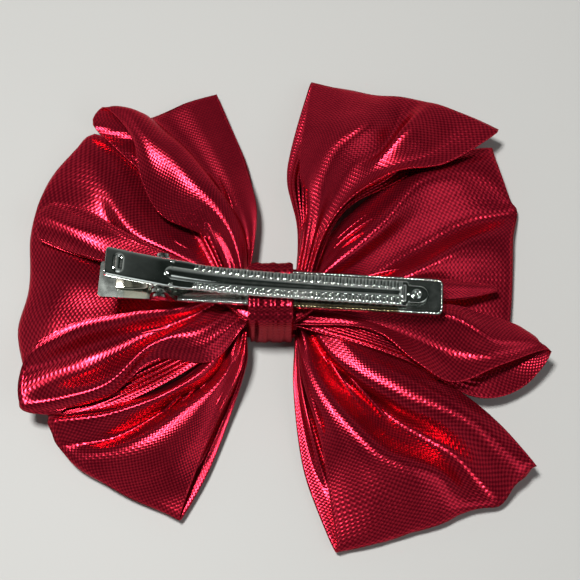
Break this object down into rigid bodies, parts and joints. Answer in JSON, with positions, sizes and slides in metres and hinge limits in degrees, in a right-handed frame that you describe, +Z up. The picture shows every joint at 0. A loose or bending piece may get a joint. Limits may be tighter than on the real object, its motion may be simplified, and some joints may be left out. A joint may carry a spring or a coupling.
{
  "type": "hair bow",
  "caption": "Satin ribbon hair bow: fanned figure-eight loops tied at a gathered knot with a centre band, on a sprung toothed metal alligator clip.",
  "frame": {"origin": "on the surface that the bow lies on, under the middle of its outline", "axes": "+X along the clip from the thumb tab to the tip, +Y across the bow, +Z up from the front of the bow towards the clip"},
  "size_m": [0.1212, 0.1154, 0.0294],
  "materials": {
    "satin": "satin",
    "band_satin": "satin",
    "thread": "matte",
    "glue": "satin",
    "clip_metal": "polished",
    "spring_steel": "gloss"
  },
  "bodies": {
    "bow": {"side_ribbon": "satin", "falling_ribbon": "satin", "rising_ribbon": "satin", "top_ribbon": "satin", "inner_ribbon": "satin", "tie_thread": "thread", "centre_band": "band_satin", "glue_bed": "glue", "base_plate": "clip_metal", "hinge_pin": "clip_metal", "leaf_spring": "spring_steel"},
    "jaw": {"upper_jaw": "clip_metal"}
  },
  "joints": [
    {"name": "jaw_hinge", "type": "hinge", "parent": "bow", "child": "jaw", "pos_m": [-0.02695, -0.00082, 0.02123], "axis": [-0.0576, -0.9983, 0], "range_deg": [0, 35], "stiffness_Nm_per_rad": 0.06, "springref_deg": -28.65, "deforming": ["leaf_spring"]}
  ]
}
